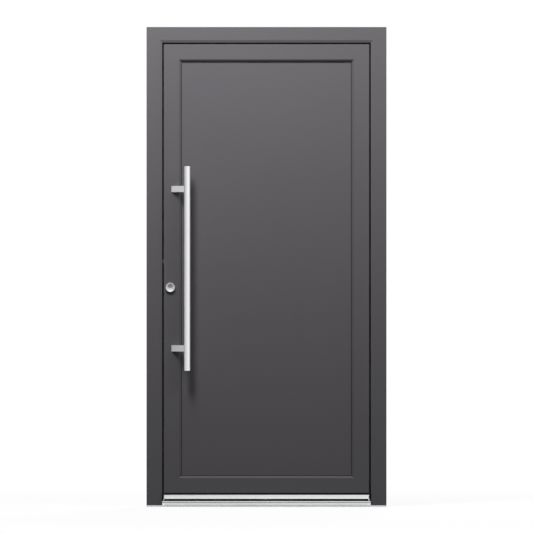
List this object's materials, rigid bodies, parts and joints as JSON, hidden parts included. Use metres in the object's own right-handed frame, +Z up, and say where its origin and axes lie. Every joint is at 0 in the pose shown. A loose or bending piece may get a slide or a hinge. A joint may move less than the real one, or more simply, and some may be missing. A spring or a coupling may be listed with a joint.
{
  "type": "entrance door with frame",
  "caption": "Insulated aluminium entrance door leaf in its frame, opening inwards, with a long pull bar, lever, lock cylinder, hook bolts and threshold.",
  "frame": {"origin": "middle of the sill's underside, half way through the frame's depth", "axes": "+Z up, +X towards the hinges, -Y towards the outside, +Y towards the inside of the house"},
  "size_m": [1.1, 0.217, 2.2],
  "materials": {
    "anthracite_paint": "anthracite powder coat, satin",
    "polyamide": "black glass-filled polyamide",
    "seal_rubber": "black sealing rubber",
    "brush_seal": "black pile brush",
    "raw_aluminium": "mill finish",
    "silver_anodised": "silver anodised",
    "sill_plastic": "light grey",
    "foam": "rigid foam",
    "stainless_steel": "satin stainless steel",
    "zinc_steel": "zinc plated steel",
    "nickel_brass": "nickel plated brass"
  },
  "bodies": {
    "frame": {"frame_corner_cleats": "raw_aluminium", "frame_head_inner": "anthracite_paint", "frame_head_outer": "anthracite_paint", "frame_left_inner": "anthracite_paint", "frame_left_outer": "anthracite_paint", "frame_right_inner": "anthracite_paint", "frame_right_outer": "anthracite_paint", "frame_stop_seal": "seal_rubber", "frame_thermal_breaks": "polyamide", "hinge_frame_parts": "anthracite_paint", "hook_strike_plates": "zinc_steel", "main_strike_plates": "zinc_steel", "sill_base": "sill_plastic", "threshold_break": "polyamide", "threshold_inner": "silver_anodised", "threshold_outer": "silver_anodised"},
    "leaf": {"bottom_seal": "brush_seal", "cylinder_body": "nickel_brass", "glazing_beads": "anthracite_paint", "hinge_leaf_parts": "anthracite_paint", "hook_lock_cases": "zinc_steel", "inner_backplate": "stainless_steel", "leaf_bottom_inner": "anthracite_paint", "leaf_bottom_outer": "anthracite_paint", "leaf_corner_cleats": "raw_aluminium", "leaf_flange_seal": "seal_rubber", "leaf_foot_adapter": "raw_aluminium", "leaf_head_inner": "anthracite_paint", "leaf_head_outer": "anthracite_paint", "leaf_left_inner": "anthracite_paint", "leaf_left_outer": "anthracite_paint", "leaf_right_inner": "anthracite_paint", "leaf_right_outer": "anthracite_paint", "leaf_thermal_breaks": "polyamide", "lock_faceplate": "zinc_steel", "main_lock_case": "zinc_steel", "outer_rosette": "stainless_steel", "panel_core": "foam", "panel_inner_gasket": "seal_rubber", "panel_inner_skin": "anthracite_paint", "panel_outer_gasket": "seal_rubber", "panel_outer_skin": "anthracite_paint", "pull_bar": "stainless_steel", "pull_supports": "stainless_steel", "weather_bar": "silver_anodised"},
    "lever": {"lever_handle": "stainless_steel", "lever_spindle": "zinc_steel", "lock_follower": "zinc_steel"},
    "latch": {"latch_bolt": "zinc_steel"},
    "core": {"cylinder_core": "nickel_brass"},
    "deadbolt": {"deadbolt": "zinc_steel"},
    "hook_lower": {"hook_lower": "zinc_steel"},
    "hook_upper": {"hook_upper": "zinc_steel"}
  },
  "joints": [
    {"name": "leaf_swing", "type": "hinge", "parent": "frame", "child": "leaf", "pos_m": [0.502, 0.051, 1.15], "axis": [0, 0, -1], "range_deg": [0, 100]},
    {"name": "lever_turn", "type": "hinge", "parent": "leaf", "child": "lever", "pos_m": [-0.441, 0, 1.106], "axis": [0, 1, 0], "range_deg": [0, 40], "stiffness_Nm_per_rad": 0.6, "springref_deg": -51.57},
    {"name": "latch_slide", "type": "slide", "parent": "leaf", "child": "latch", "axis": [1, 0, 0], "range_m": [0, 0.012]},
    {"name": "cylinder_turn", "type": "hinge", "parent": "leaf", "child": "core", "pos_m": [-0.441, 0, 1.014], "axis": [0, 1, 0], "range_deg": [0, 360]},
    {"name": "deadbolt_slide", "type": "slide", "parent": "leaf", "child": "deadbolt", "axis": [-1, 0, 0], "range_m": [0, 0.02]},
    {"name": "hook_lower_swing", "type": "hinge", "parent": "leaf", "child": "hook_lower", "pos_m": [-0.454, 0, 0.62], "axis": [0, 1, 0], "range_deg": [0, 90]},
    {"name": "hook_upper_swing", "type": "hinge", "parent": "leaf", "child": "hook_upper", "pos_m": [-0.454, 0, 1.64], "axis": [0, 1, 0], "range_deg": [0, 90]}
  ],
  "couplings": [
    {"joint": "latch_slide", "follows": "lever_turn", "m_per_rad": 0.017188},
    {"joint": "deadbolt_slide", "follows": "cylinder_turn", "m_per_rad": 0.003183},
    {"joint": "hook_lower_swing", "follows": "cylinder_turn", "ratio": 0.25},
    {"joint": "hook_upper_swing", "follows": "cylinder_turn", "ratio": 0.25}
  ]
}
